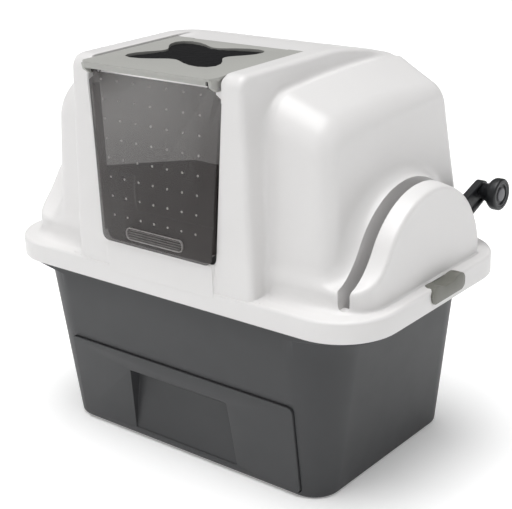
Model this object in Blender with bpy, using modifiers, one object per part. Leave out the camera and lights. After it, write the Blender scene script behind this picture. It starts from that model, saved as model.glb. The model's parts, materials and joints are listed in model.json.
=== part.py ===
"""Cat litter box with hood, self-sifting: a tapered tub with a waste drawer, a hood with a flip-up cover and
a swinging door, and a litter pan that a side lever turns over. Metres, +Z up, the door faces -Y, the origin
is on the floor under the middle of the tub."""

import math

import bmesh
import bpy
from mathutils import Matrix, Vector

# ---------------------------------------------------------------- driving dimensions
GAP = 0.0003            # between pieces that touch
WALL = 0.003            # moulded walls

# Base tub: half sizes at the floor and at the lip
TUB_HEIGHT = 0.2655
TUB_FOOT = (0.249, 0.163)
TUB_TOP = (0.285, 0.190)
TUB_FOOT_CORNER = 0.040
TUB_TOP_CORNER = 0.080
TUB_FLOOR = 0.004
LIP_THICK = 0.007
LIP_INSET = 0.011       # from the hood's rim in to the tub's lip

# Hood rim
RIM_HALF = (0.338, 0.199)
RIM_HEIGHT = 0.0305
RIM_CORNER = 0.085
RIM_BOTTOM = TUB_HEIGHT + GAP
RIM_TOP = RIM_BOTTOM + RIM_HEIGHT

# Hood blocks above the rim
HOOD_TOP = RIM_TOP + 0.3002
CENTRE_FRONT_LOW = 0.1965
CENTRE_FRONT_HIGH = 0.1900
CENTRE_HALF_LOW = 0.166
CENTRE_HALF_HIGH = 0.155
SHOULDER_TOP = RIM_TOP + 0.2707
SIDE_TOP = RIM_TOP + 0.2347
SIDE_HALF = RIM_HALF[0] - 0.076
SIDE_DRAFT = 0.010
CEILING = 0.0100        # thickness of the hood's roof over the cabin
RECESS_DEPTH = 0.0050   # strip behind the cover
RECESS_REAR = 0.075

# Opening for the cover and the door
OPENING_HALF_TOP = 0.1215
OPENING_HALF_SILL = OPENING_HALF_TOP - 0.0175
APRON_HALF = OPENING_HALF_SILL - 0.0040     # the panel under the door, level with the rim
SILL = RIM_TOP + 0.0372
COVER_MOUTH = HOOD_TOP - 0.0365     # where the door's opening meets the cover's
HINGE_Y = -0.0045       # cover hinge axis

# Pan, lever and their common axis
PIVOT_Y = 0.010
PIVOT_Z = RIM_TOP + 0.0037
PAN_RADIUS = 0.140
PAN_HALF = 0.235
PAN_FRONT_ANGLE = 137.0
PAN_REAR_ANGLE = 380.0
ENTRY_HALF = 0.1160
ENTRY_DROP = 0.0430
ENTRY_SPLAY = 0.034
SIEVE_TOP_ANGLE = 160.0
SIEVE_FOOT_ANGLE = 255.0
SIEVE_COLUMNS = 16
JOURNAL_RADIUS = 0.014
JOURNAL_CLEARANCE = 0.0004
SADDLE_X = PAN_HALF + 0.008
SADDLE_THICK = 0.008
SADDLE_DROP = 0.100     # from the pan's axis to the saddles' feet

# Domes over the pan's ends, the plinth under them, and the lever's slot
DOME_RADIUS = 0.127
DOME_FLARE = 0.045
DOME_OUTER = RIM_HALF[0] - 0.020
DOME_DRAFT = 0.004
PLINTH_RISE = 0.0240    # above the rim
PLINTH_FRONT = 0.159
PLINTH_CORNER = 0.050
SLOT_OUTER = DOME_OUTER - 0.0245
SLOT_INNER = SLOT_OUTER - 0.0205
SLOT_REACH = PLINTH_FRONT + 0.001

# Lever and knob
LEVER_REST = 20.0
LEVER_REACH = 0.1975
LEVER_THICK = 0.012
LEVER_WIDTH = 0.034
KNOB_RADIUS = 0.0235
KNOB_THICK = 0.030
AXLE_RADIUS = 0.005

# Drawer
DRAWER_HALF = 0.2145
DRAWER_BOTTOM = 0.0070
DRAWER_TOP = 0.1465
DRAWER_PROUD = 0.003
DRAWER_GAP = 0.0012
DRAWER_REAR = 0.130
BIN_TOP = 0.140
BIN_HALF = DRAWER_HALF - 0.0095
BIN_FRONT = 0.148
RECESS_HALF_TOP = 0.095
RECESS_HALF_LOW = 0.101
RECESS_LOW = 0.016
RECESS_HIGH = 0.118
RECESS_CUT = 0.022

# Cover, filter and door
COVER_HALF = OPENING_HALF_TOP - 0.0015
COVER_FRONT = -0.206
COVER_REAR = -0.007
COVER_THICK = 0.004
COVER_TOP = HOOD_TOP - 0.0033
COVER_SKIRT = 0.005
KNUCKLE_RADIUS = 0.0037
KNUCKLE_X = (COVER_HALF - 0.032, COVER_HALF - 0.002)
LOBE_CENTRE = (-0.010, -0.090)
LOBE_WAIST = (0.055, 0.044)
LOBE_SWELL = 0.95
EAR = (COVER_HALF - 0.0075, COVER_HALF - 0.0020)    # from the middle to the ears that carry the door
HINGE_Z = COVER_TOP - KNUCKLE_RADIUS
TRAY_HALF = COVER_HALF - 0.020
TRAY_Y = (-0.172, -0.018)
TRAY_WALL = 0.002
TRAY_DEPTH = 0.0152     # below the cover's underside
TRAY_SLOTS = 5
DOOR_AXIS_Y = -0.188
DOOR_AXIS_Z = COVER_TOP - 0.0152
DOOR_LEAN = 3.5
DOOR_HALF_TOP = OPENING_HALF_TOP - 0.0020
DOOR_HALF_LOW = OPENING_HALF_SILL - 0.0020
DOOR_NECK = EAR[0] - 0.0015     # half width between the hinge ears
DOOR_BOTTOM = SILL + 0.0020
DOOR_THICK = 0.0028
DOOR_RETURN = 0.016
PULL_HALF = (0.054, 0.0095)
PIN_RADIUS = 0.002
PIN_CLEARANCE = 0.0003

# Latches in the rim's sides
LATCH_Y = (-0.0285, 0.0570)
LATCH_BOTTOM = RIM_BOTTOM + 0.0072
LATCH_TOP = RIM_TOP + 0.0020
LATCH_OUT = 0.0030
LATCH_DEPTH = 0.0155    # from the rim's face in to the latch's back
LATCH_PIVOT_IN = 0.0045
LATCH_BARREL = 0.003
LATCH_PIN_RADIUS = 0.0015
POCKET_Y = (LATCH_Y[0] + 0.010, LATCH_Y[1] - 0.008)
POCKET_PLAY = 0.0008
SCOOP_RADIUS = 0.0664
SCOOP_DEPTH = 0.0061


# ---------------------------------------------------------------- tools
def clear_scene():
    for item in list(bpy.data.objects):
        bpy.data.objects.remove(item, do_unlink=True)


def new_collection(name, helper=False):
    group = bpy.data.collections.new(name)
    bpy.context.scene.collection.children.link(group)
    group.hide_render = helper
    return group


def material(name, colour, roughness, metallic=0.0, alpha=1.0):
    made = bpy.data.materials.new(name)
    made.use_nodes = True
    shader = made.node_tree.nodes["Principled BSDF"]
    shader.inputs["Base Color"].default_value = (*colour, 1.0)
    shader.inputs["Roughness"].default_value = roughness
    shader.inputs["Metallic"].default_value = metallic
    shader.inputs["Alpha"].default_value = alpha
    return made


def add(name, mesh, finish=None):
    """An object with this mesh: a part where it has a finish, and otherwise a cutter."""
    item = bpy.data.objects.new(name, mesh)
    if finish:
        PARTS.objects.link(item)
        item.data.materials.append(finish)
    else:
        CUTTERS.objects.link(item)
        item.hide_render = True
        item.display_type = "WIRE"
    return item


def mesh_of(shape):
    """A bmesh made into a mesh with its normals outwards."""
    bmesh.ops.recalc_face_normals(shape, faces=shape.faces)
    if shape.calc_volume(signed=True) < 0:
        bmesh.ops.reverse_faces(shape, faces=shape.faces)
    mesh = bpy.data.meshes.new("shape")
    shape.to_mesh(mesh)
    shape.free()
    return mesh


def box(name, x, y, z, finish=None):
    """A box between two values on each axis."""
    shape = bmesh.new()
    bmesh.ops.create_cube(shape, size=1.0)
    spans = (x, y, z)
    for vert in shape.verts:
        for i in range(3):
            vert.co[i] = spans[i][0] if vert.co[i] < 0 else spans[i][1]
    return add(name, mesh_of(shape), finish)


AXES = {
    "x": Matrix(((0, 0, 1), (1, 0, 0), (0, 1, 0))).to_4x4(),
    "y": Matrix(((-1, 0, 0), (0, 0, 1), (0, 1, 0))).to_4x4(),
    "z": Matrix.Identity(4),
}


def cylinder(name, axis, centre, radius, low, high, finish=None, segments=24):
    """A cylinder along an axis, from low to high on it; centre gives the other two coordinates."""
    shape = bmesh.new()
    bmesh.ops.create_cone(
        shape, cap_ends=True, segments=segments, radius1=radius, radius2=radius, depth=high - low,
    )
    if axis == "x":
        place = Matrix.Translation(((low + high) / 2, centre[0], centre[1])) @ AXES["x"]
    elif axis == "y":
        place = Matrix.Translation((centre[0], (low + high) / 2, centre[1])) @ AXES["y"]
    else:
        place = Matrix.Translation((centre[0], centre[1], (low + high) / 2))
    shape.transform(place)
    return add(name, mesh_of(shape), finish)


def plate(name, outlines, axis, low, high, finish=None):
    """Flat outlines, the first with the others as holes in it, made solid from low to high along an axis."""
    curve = bpy.data.curves.new(name, "CURVE")
    curve.dimensions = "2D"
    curve.fill_mode = "BOTH"
    curve.extrude = (high - low) / 2
    for outline in outlines:
        spline = curve.splines.new("POLY")
        spline.points.add(len(outline) - 1)
        for point, (u, v) in zip(spline.points, outline):
            point.co = (u, v, 0, 1)
        spline.use_cyclic_u = True
    guide = bpy.data.objects.new(name + "_outline", curve)
    bpy.context.scene.collection.objects.link(guide)
    graph = bpy.context.evaluated_depsgraph_get()
    mesh = bpy.data.meshes.new_from_object(guide.evaluated_get(graph))
    bpy.data.objects.remove(guide, do_unlink=True)
    shape = bmesh.new()
    shape.from_mesh(mesh)
    bmesh.ops.remove_doubles(shape, verts=shape.verts, dist=1e-6)
    middle = (low + high) / 2
    if axis == "x":
        shape.transform(Matrix.Translation((middle, 0, 0)) @ AXES["x"])
    elif axis == "y":
        for vert in shape.verts:
            vert.co = Vector((vert.co.x, middle + vert.co.z, vert.co.y))
    else:
        shape.transform(Matrix.Translation((0, 0, middle)))
    return add(name, mesh_of(shape), finish)


def loft(name, sections, finish=None):
    """A closed skin through sections of equally many points, with flat ends."""
    shape = bmesh.new()
    rings = [[shape.verts.new(point) for point in section] for section in sections]
    for low, high in zip(rings, rings[1:]):
        for i in range(len(low)):
            j = (i + 1) % len(low)
            shape.faces.new((low[i], low[j], high[j], high[i]))
    shape.faces.new(rings[0])
    shape.faces.new(list(reversed(rings[-1])))
    return add(name, mesh_of(shape), finish)


def join_or_cut(target, other, operation):
    change = target.modifiers.new(other.name, "BOOLEAN")
    change.operation = operation
    change.object = other
    change.solver = "EXACT"


def cut(target, *others):
    for other in others:
        join_or_cut(target, other, "DIFFERENCE")


def join(target, *others):
    for other in others:
        join_or_cut(target, other, "UNION")


def arc(centre, radius, start, end, segments):
    """Points on an arc, with angles in degrees."""
    steps = [math.radians(start + (end - start) * i / segments) for i in range(segments + 1)]
    return [(centre[0] + radius * math.cos(a), centre[1] + radius * math.sin(a)) for a in steps]


def rounded(corners, segments=5):
    """A polygon of (u, v, radius) corners with each corner's round put in."""
    points = []
    for i, (u, v, radius) in enumerate(corners):
        here = Vector((u, v))
        if radius == 0:
            points.append((u, v))
            continue
        back = (Vector(corners[i - 1][:2]) - here).normalized()
        ahead = (Vector(corners[(i + 1) % len(corners)][:2]) - here).normalized()
        half = back.angle(ahead) / 2
        middle = here + (back + ahead).normalized() * radius / math.sin(half)
        start = here + back * radius / math.tan(half) - middle
        turn = start.angle_signed(here + ahead * radius / math.tan(half) - middle)
        for step in range(segments + 1):
            angle = -turn * step / segments
            spun = Matrix.Rotation(angle, 2) @ start
            points.append((middle.x + spun.x, middle.y + spun.y))
    return points


def split_long(points, pieces=4):
    """The first and last straight stretch of an open outline divided evenly, for a fair twisted skin."""
    def stretch(start, end):
        steps = [i / pieces for i in range(1, pieces)]
        return [tuple(a + (b - a) * share for a, b in zip(start, end)) for share in steps]

    first = stretch(points[0], points[1])
    last = stretch(points[-2], points[-1])
    return [points[0], *first, *points[1:-1], *last, points[-1]]


def rectangle(half_x, half_y, radius, segments=5):
    signs = ((1, -1), (1, 1), (-1, 1), (-1, -1))
    return rounded([(sx * half_x, sy * half_y, radius) for sx, sy in signs], segments)


def set_origin(item, point):
    """Puts the object's origin on a point, with its mesh where it was."""
    item.data.transform(Matrix.Translation(-Vector(point)))
    item.location = point


def mirrored(item, name, finish=None):
    """A copy on the other side of X = 0, with the same joins and cuts mirrored."""
    mesh = item.data.copy()
    mesh.transform(Matrix.Scale(-1, 4, (1, 0, 0)))
    mesh.flip_normals()
    twin = add(name, mesh, finish)
    twin.location = (-item.location.x, item.location.y, item.location.z)
    for change in item.modifiers:
        helper = mirrored(change.object, name + "_" + change.object.name)
        join_or_cut(twin, helper, change.operation)
    return twin


# ---------------------------------------------------------------- base tub
def tub_half(z):
    """The tub's half sizes at a height."""
    share = z / TUB_HEIGHT
    return [low + (high - low) * share for low, high in zip(TUB_FOOT, TUB_TOP)]


def tub_section(z, inset):
    half = tub_half(z)
    share = z / TUB_HEIGHT
    corner = TUB_FOOT_CORNER + (TUB_TOP_CORNER - TUB_FOOT_CORNER) * share - inset
    return [(x, y, z) for x, y in rectangle(half[0] - inset, half[1] - inset, corner)]


def make_tub(finish):
    sections = [tub_section(0.0, 0.006), tub_section(0.006, 0.0), tub_section(TUB_HEIGHT, 0.0)]
    tub = loft("base_tub", sections, finish)
    lip_half = (RIM_HALF[0] - LIP_INSET, RIM_HALF[1] - LIP_INSET)
    lip = plate(
        "tub_lip", [rectangle(*lip_half, RIM_CORNER - LIP_INSET + 0.003)], "z",
        TUB_HEIGHT - LIP_THICK, TUB_HEIGHT,
    )
    hollow = loft(
        "tub_hollow",
        [tub_section(TUB_FLOOR, 0.006), tub_section(0.010, WALL), tub_section(TUB_HEIGHT + 0.02, WALL)],
    )
    mouth_half = DRAWER_HALF + DRAWER_GAP
    mouth = box(
        "drawer_mouth", (-mouth_half, mouth_half), (-0.25, -0.12),
        (DRAWER_BOTTOM - DRAWER_GAP, DRAWER_TOP + DRAWER_GAP),
    )
    join(tub, lip)
    cut(tub, hollow, mouth)
    return tub


def make_rails(finish):
    """Rails on the tub's floor that the drawer runs between."""
    for side, name in ((1, "drawer_rail_right"), (-1, "drawer_rail_left")):
        x = sorted((side * (BIN_HALF + 0.0010), side * (BIN_HALF + 0.0060)))
        box(name, x, (-0.120, DRAWER_REAR), (TUB_FLOOR + GAP, 0.030), finish)


def make_saddles(finish):
    """Open bearings that hold the pan's journals, on the tub's end walls."""
    foot_z = PIVOT_Z - SADDLE_DROP
    wall_x = tub_half(foot_z + 0.005)[0] - WALL - 0.0010
    post = [
        (PIVOT_Y - 0.034, foot_z), (PIVOT_Y + 0.034, foot_z), (PIVOT_Y + 0.026, PIVOT_Z),
        *arc((PIVOT_Y, PIVOT_Z), JOURNAL_RADIUS + JOURNAL_CLEARANCE, 0, -180, 12),
        (PIVOT_Y - 0.026, PIVOT_Z),
    ]
    right = plate("bearing_saddle_right", [post], "x", SADDLE_X, SADDLE_X + SADDLE_THICK, finish)
    foot = box(
        "saddle_foot", (SADDLE_X + 0.001, wall_x), (PIVOT_Y - 0.034, PIVOT_Y + 0.034),
        (foot_z, foot_z + 0.006),
    )
    join(right, foot)
    mirrored(right, "bearing_saddle_left", finish)


# ---------------------------------------------------------------- drawer
def drawer_face_y(z):
    return -tub_half(z)[1] - DRAWER_PROUD


def make_drawer(finish, frame_finish):
    half = DRAWER_HALF
    corner = 0.008
    outline = rectangle(half, (DRAWER_TOP - DRAWER_BOTTOM) / 2, corner, 3)
    middle = (DRAWER_TOP + DRAWER_BOTTOM) / 2
    face = [(x, drawer_face_y(middle + v), middle + v) for x, v in outline]
    back = [(x, -0.1560, middle + v) for x, v in outline]
    drawer = loft("waste_drawer", [face, back], finish)
    body = box(
        "drawer_body", (-BIN_HALF, BIN_HALF), (-0.158, DRAWER_REAR), (DRAWER_BOTTOM + 0.001, BIN_TOP),
    )
    hollow = box(
        "drawer_hollow", (-BIN_HALF + WALL, BIN_HALF - WALL), (-0.1500, DRAWER_REAR - WALL),
        (DRAWER_BOTTOM + 0.001 + WALL, BIN_TOP + 0.02),
    )
    deep_y = drawer_face_y(RECESS_HIGH) + RECESS_CUT
    low_y = drawer_face_y(RECESS_LOW) + 0.002
    recess = loft("finger_recess", [
        [(-RECESS_HALF_LOW, -0.25, RECESS_LOW), (RECESS_HALF_LOW, -0.25, RECESS_LOW),
         (RECESS_HALF_TOP, -0.25, RECESS_HIGH), (-RECESS_HALF_TOP, -0.25, RECESS_HIGH)],
        [(-RECESS_HALF_LOW, low_y, RECESS_LOW), (RECESS_HALF_LOW, low_y, RECESS_LOW),
         (RECESS_HALF_TOP, deep_y, RECESS_HIGH), (-RECESS_HALF_TOP, deep_y, RECESS_HIGH)],
    ])
    join(drawer, body)
    cut(drawer, hollow, recess)
    set_origin(drawer, (0, drawer_face_y(DRAWER_BOTTOM), DRAWER_BOTTOM))

    outer = (BIN_HALF, (DRAWER_REAR + BIN_FRONT) / 2)
    centre_y = (DRAWER_REAR - BIN_FRONT) / 2
    rings = []
    for inset in (0.0, 0.012):
        ring = rectangle(outer[0] - inset, outer[1] - inset, 0.006, 3)
        rings.append([(x, y + centre_y) for x, y in ring])
    plate("drawer_bag_frame", rings, "z", BIN_TOP + GAP, BIN_TOP + 0.004, frame_finish)


# ---------------------------------------------------------------- pan
def on_pan(angle, radius):
    turn = math.radians(angle)
    return (PIVOT_Y + radius * math.cos(turn), PIVOT_Z + radius * math.sin(turn))


def make_pan(pan_finish, sieve_finish, metal):
    outline = arc((PIVOT_Y, PIVOT_Z), PAN_RADIUS, PAN_FRONT_ANGLE, PAN_REAR_ANGLE, 30)
    pan = plate("litter_pan", [outline], "x", -PAN_HALF, PAN_HALF, pan_finish)
    inner = arc((PIVOT_Y, PIVOT_Z), PAN_RADIUS - WALL, 0, 360, 40)[:-1]
    hollow = plate("pan_hollow", [inner], "x", -PAN_HALF + WALL, PAN_HALF - WALL)
    front_z = on_pan(PAN_FRONT_ANGLE, PAN_RADIUS)[1]
    entry = plate("pan_entry", [[
        (-ENTRY_HALF, front_z - ENTRY_DROP), (ENTRY_HALF, front_z - ENTRY_DROP),
        (ENTRY_HALF + ENTRY_SPLAY, front_z + 0.01), (-ENTRY_HALF - ENTRY_SPLAY, front_z + 0.01),
    ]], "y", PIVOT_Y - PAN_RADIUS - 0.01, PIVOT_Y)
    cut(pan, hollow, entry)
    set_origin(pan, (0, PIVOT_Y, PIVOT_Z))

    make_sieve(sieve_finish)
    for side, name in ((1, "end_hub_right"), (-1, "end_hub_left")):
        make_hub(name, side, pan_finish)
    make_lever(pan_finish, metal)


def make_sieve(finish):
    """The slotted panel across the pan, its face on the line between two angles of the pan's wall."""
    radius = PAN_RADIUS - WALL - 0.002
    top = Vector(on_pan(SIEVE_TOP_ANGLE, radius))
    foot = Vector(on_pan(SIEVE_FOOT_ANGLE, radius))
    height = (top - foot).length
    half = PAN_HALF - WALL - GAP
    pitch = 2 * half / SIEVE_COLUMNS
    slot_half = pitch * 0.28
    holes = []
    for i in range(SIEVE_COLUMNS):
        x = -half + pitch * (i + 0.5)
        for low, high in ((0.10, 0.47), (0.53, 0.90)):
            holes.append([
                (x - slot_half, height * low), (x + slot_half, height * low),
                (x + slot_half, height * high), (x - slot_half, height * high),
            ])
    outline = [(-half, 0.0), (half, 0.0), (half, height), (-half, height)]
    sieve = plate("sifter_grid", [outline, *holes], "z", -0.0015, 0.0015, finish)
    along = (top - foot).normalized()
    turn = Matrix((
        (1, 0, 0, 0),
        (0, along.x, -along.y, foot.x),
        (0, along.y, along.x, foot.y),
        (0, 0, 0, 1),
    ))
    sieve.data.transform(turn)
    set_origin(sieve, (0, PIVOT_Y, PIVOT_Z))


def make_hub(name, side, finish):
    """Flange, journal and boss, turned about the pan's axis."""
    centre = (PIVOT_Y, PIVOT_Z)
    start = PAN_HALF + GAP

    def stage(label, radius, low, high, use=None):
        low, high = sorted((side * low, side * high))
        return cylinder(label, "x", centre, radius, low, high, use, segments=28)

    hub = stage(name, 0.022, start, SADDLE_X - 0.0005, finish)
    journal_end = SADDLE_X + SADDLE_THICK + (0.009 if side > 0 else 0.003)
    join(hub, stage(name + "_journal", JOURNAL_RADIUS, start + 0.002, journal_end))
    if side > 0:
        boss_end = lever_inner() - GAP
        join(hub, stage(name + "_boss", 0.018, journal_end - 0.001, boss_end))
        join(hub, stage(name + "_spigot", 0.0075, boss_end - 0.001, boss_end + LEVER_THICK * 0.7))
        cut(hub, stage(name + "_screw_hole", 0.0024, boss_end - 0.012, boss_end + LEVER_THICK))
    set_origin(hub, (0, PIVOT_Y, PIVOT_Z))


def lever_inner():
    return (SLOT_INNER + SLOT_OUTER) / 2 - LEVER_THICK / 2


def knob_centre():
    return on_pan(LEVER_REST, LEVER_REACH)


def bar_outline(length, start_radius, end_radius, segments=10):
    """A bar with round ends, from the origin along +u."""
    return arc((0, 0), start_radius, 90, 270, segments) + arc((length, 0), end_radius, -90, 90, segments)


def make_lever(finish, metal):
    inner = lever_inner()
    outline = bar_outline(LEVER_REACH, LEVER_WIDTH / 2 + 0.004, LEVER_WIDTH / 2 - 0.001)
    turn = Matrix.Rotation(math.radians(LEVER_REST), 2)
    placed = []
    for u, v in outline:
        spot = turn @ Vector((u, v))
        placed.append((PIVOT_Y + spot.x, PIVOT_Z + spot.y))
    lever = plate("lever_arm", [placed], "x", inner, inner + LEVER_THICK, finish)
    socket = cylinder(
        "lever_socket", "x", (PIVOT_Y, PIVOT_Z), 0.0078, inner - 0.001, inner + LEVER_THICK * 0.75,
        segments=28,
    )
    screw_way = cylinder(
        "lever_screw_way", "x", (PIVOT_Y, PIVOT_Z), 0.0030, inner, inner + LEVER_THICK + 0.001,
    )
    axle_way = cylinder(
        "lever_axle_way", "x", knob_centre(), AXLE_RADIUS + GAP, inner + 0.004, inner + LEVER_THICK + 0.001,
    )
    cut(lever, socket, screw_way, axle_way)
    set_origin(lever, (0, PIVOT_Y, PIVOT_Z))

    screw = cylinder(
        "lever_screw", "x", (PIVOT_Y, PIVOT_Z), 0.0060,
        inner + LEVER_THICK + GAP, inner + LEVER_THICK + 0.0035,
        metal,
    )
    shank = cylinder(
        "lever_screw_shank", "x", (PIVOT_Y, PIVOT_Z), 0.0020, inner - 0.008, inner + LEVER_THICK + 0.001,
        segments=12,
    )
    join(screw, shank)
    set_origin(screw, (0, PIVOT_Y, PIVOT_Z))

    axle = cylinder(
        "knob_axle", "x", knob_centre(), AXLE_RADIUS, inner + 0.004 + GAP, knob_start() + KNOB_THICK - 0.006,
        metal,
    )
    set_origin(axle, (0, PIVOT_Y, PIVOT_Z))


def knob_start():
    return lever_inner() + LEVER_THICK + 0.0010


def make_knob(finish, cap_finish):
    """A turned knob on the axle, with a cap in its outer face."""
    start = knob_start()
    depth = KNOB_THICK
    r = KNOB_RADIUS
    bore = AXLE_RADIUS + GAP
    profile = [
        (bore, depth - 0.0055), (0.0150, depth - 0.0055), (0.0150, depth - 0.0015), (0.0165, depth),
        (r - 0.003, depth), (r - 0.0008, depth - 0.0012), (r, depth - 0.004), (r, 0.013), (r - 0.002, 0.009),
        (0.0140, 0.003), (0.0120, 0.0), (bore, 0.0),
    ]
    shape = bmesh.new()
    points = [shape.verts.new((radius, 0, height)) for radius, height in profile]
    for i, point in enumerate(points):
        shape.edges.new((point, points[(i + 1) % len(points)]))
    mesh = bpy.data.meshes.new("knob")
    shape.to_mesh(mesh)
    shape.free()
    knob = add("lever_knob", mesh, finish)
    turned = knob.modifiers.new("turned", "SCREW")
    turned.steps = turned.render_steps = 32
    turned.use_merge_vertices = True
    turned.merge_threshold = 0.0001
    centre = (start, *knob_centre())
    knob.matrix_world = Matrix.Translation(centre) @ AXES["x"]

    cap = cylinder(
        "knob_cap", "x", knob_centre(), 0.0147, start + depth - 0.0055 + GAP, start + depth - 0.0010,
        cap_finish, segments=32,
    )
    set_origin(cap, centre)


# ---------------------------------------------------------------- hood
def centre_half(z):
    share = (z - RIM_TOP) / (HOOD_TOP - RIM_TOP)
    return CENTRE_HALF_LOW + (CENTRE_HALF_HIGH - CENTRE_HALF_LOW) * share


def block_profile(front_low, front_high, top_front, top_rear, rear_high, rear_low, rounds, base, inset=0.0):
    """A hood block's side view: (y, z) corners from the front foot over the top to the rear foot."""
    corners = [
        (front_low + inset, base, 0), (front_high + inset, top_front - inset, rounds[0]),
        (rear_high - inset, top_rear - inset, rounds[1]), (rear_low - inset, base, 0),
    ]
    return split_long(rounded(corners, 6))


def centre_block(name, inset, base, top_inset):
    top = HOOD_TOP - top_inset
    corners = [
        (-CENTRE_FRONT_LOW + inset, base, 0), (-CENTRE_FRONT_HIGH + inset, top, 0.022 - inset),
        (0.112 - inset, top, 0.060 - inset), (0.187 - inset, HOOD_TOP - 0.0405 - inset, 0.030 - inset),
        (0.1915 - inset, base, 0),
    ]
    profile = split_long(rounded(corners, 5))
    sections = []
    for side in (-1, 1):
        sections.append([(side * (centre_half(z) - inset), y, z) for y, z in profile])
    return loft(name, sections)


def side_block(name, inset, base):
    """The shoulders on both sides of the centre, stepping down in three sections to each side face."""
    def sections(side):
        inner = block_profile(-0.1655, -0.1465, SHOULDER_TOP, SHOULDER_TOP - 0.006, 0.165, 0.190,
                              (0.042, 0.040), base, inset)
        middle = block_profile(-0.1600, -0.1420, SHOULDER_TOP - 0.014, SHOULDER_TOP - 0.017, 0.152, 0.190,
                               (0.042, 0.038), base, inset)
        outer = block_profile(-0.1530, -0.1350, SIDE_TOP, SIDE_TOP - 0.001, 0.133, 0.186,
                              (0.030, 0.028), base, inset)
        far = SIDE_HALF - inset

        def lean(z):
            return SIDE_DRAFT * (z - RIM_TOP) / (SIDE_TOP - RIM_TOP)

        return [
            [(side * 0.060, y, z) for y, z in inner],
            [(side * 0.170, y, z) for y, z in inner],
            [(side * (far - 0.026), y, z) for y, z in middle],
            [(side * (far - lean(z)), y, z) for y, z in outer],
        ]

    left = sections(-1)
    left.reverse()
    return loft(name, left[:-1] + sections(1)[1:])


def dome_profile(radius, base, flare, front):
    """The dome's side view: a half circle about the pan's axis, flared down to the plinth in front."""
    floor = RIM_TOP + PLINTH_RISE
    rise = floor + flare - PIVOT_Z
    flare_y = PIVOT_Y - math.sqrt((radius + flare) ** 2 - rise**2)
    meet = math.degrees(math.atan2(rise, flare_y - PIVOT_Y))
    foot = arc((flare_y, floor + flare), flare, -90, meet - 180, 5)
    top = arc((PIVOT_Y, PIVOT_Z), radius, meet, 0, 20)
    return [(-front, base), (-front, floor)] + foot + top[1:] + [(PIVOT_Y + radius, base)]


def dome(name, side, inset, base):
    """A dome on its plinth, whose front corner is round in plan."""
    low, high = DOME_OUTER - 0.088, DOME_OUTER - inset
    front = PLINTH_FRONT - inset
    near = dome_profile(DOME_RADIUS - inset, base, DOME_FLARE + inset, front)
    far = dome_profile(DOME_RADIUS - inset - DOME_DRAFT, base, DOME_FLARE + inset, front)
    made = loft(name, [
        [(side * low, y, z) for y, z in near],
        [(side * high, y, z) for y, z in far],
    ])
    x, y = DOME_OUTER - PLINTH_CORNER, PLINTH_CORNER - PLINTH_FRONT
    beyond = PLINTH_CORNER + 0.03
    spandrel = arc((x, y), PLINTH_CORNER - inset, -90, 0, 7)
    spandrel += [(x + beyond, y), (x + beyond, y - beyond), (x, y - beyond)]
    outline = [(side * u, v) for u, v in spandrel]
    cut(made, plate(name + "_corner", [outline], "z", base - 0.01, PIVOT_Z + 0.1))
    return made


def make_hood(finish):
    rim_outline = rectangle(*RIM_HALF, RIM_CORNER, 7)
    hood = plate("hood_shell", [rim_outline], "z", RIM_BOTTOM, RIM_TOP, finish)
    base = RIM_BOTTOM + 0.004
    join(hood, side_block("hood_sides", 0.0, base), centre_block("hood_centre", 0.0, base, 0.0))
    apron_y = (-RIM_HALF[1] - 0.0004, -CENTRE_FRONT_LOW + 0.010)
    join(hood, box("hood_apron", (-APRON_HALF, APRON_HALF), apron_y, (RIM_BOTTOM, SILL + 0.003)))
    join(hood, dome("hood_dome_right", 1, 0.0, base), dome("hood_dome_left", -1, 0.0, base))

    below = RIM_BOTTOM - 0.02
    inner_rim = rectangle(RIM_HALF[0] - WALL, RIM_HALF[1] - WALL, RIM_CORNER - WALL, 7)
    cut(hood, plate("rim_hollow", [inner_rim], "z", below, RIM_TOP - WALL))
    cut(hood, side_block("sides_hollow", WALL, below), centre_block("centre_hollow", WALL, below, CEILING))
    cut(hood, dome("dome_hollow_right", 1, WALL, below), dome("dome_hollow_left", -1, WALL, below))

    opening_rear = HINGE_Y + KNUCKLE_RADIUS + 0.0008
    latch_pockets(hood)
    cut(
        hood,
        box("cover_opening", (-OPENING_HALF_TOP, OPENING_HALF_TOP), (-0.25, opening_rear),
            (COVER_MOUTH, HOOD_TOP + 0.02)),
        plate("door_opening", [[
            (-OPENING_HALF_SILL, SILL), (OPENING_HALF_SILL, SILL),
            (OPENING_HALF_TOP - GAP, COVER_MOUTH + 0.0015), (GAP - OPENING_HALF_TOP, COVER_MOUTH + 0.0015),
        ]], "y", -0.25, -0.12),
        box("roof_recess", (-OPENING_HALF_TOP, OPENING_HALF_TOP), (opening_rear - 0.002, RECESS_REAR),
            (HOOD_TOP - RECESS_DEPTH, HOOD_TOP + 0.02)),
        box("lever_slot", (SLOT_INNER, SLOT_OUTER), (-SLOT_REACH, SLOT_REACH),
            (RIM_TOP + 0.0005, PIVOT_Z + 0.17)),
    )
    hood.modifiers["door_opening"].solver = "MANIFOLD"
    cut(hood, cylinder("cover_pin_way", "x", (HINGE_Y, HINGE_Z), PIN_RADIUS + PIN_CLEARANCE,
                       -OPENING_HALF_TOP - 0.008, OPENING_HALF_TOP + 0.008, segments=12))
    return hood


# ---------------------------------------------------------------- cover, filter, door
def lobed_outline(points=48):
    """The cut-out over the filter: four lobes towards the cover's corners, with wide waists between them."""
    outline = []
    for i in range(points):
        angle = 2 * math.pi * i / points
        swell = 1 + LOBE_SWELL * ((1 - math.cos(4 * angle)) / 2) ** 1.3
        outline.append((
            LOBE_CENTRE[0] + LOBE_WAIST[0] * swell * math.cos(angle),
            LOBE_CENTRE[1] + LOBE_WAIST[1] * swell * math.sin(angle),
        ))
    return outline


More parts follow.
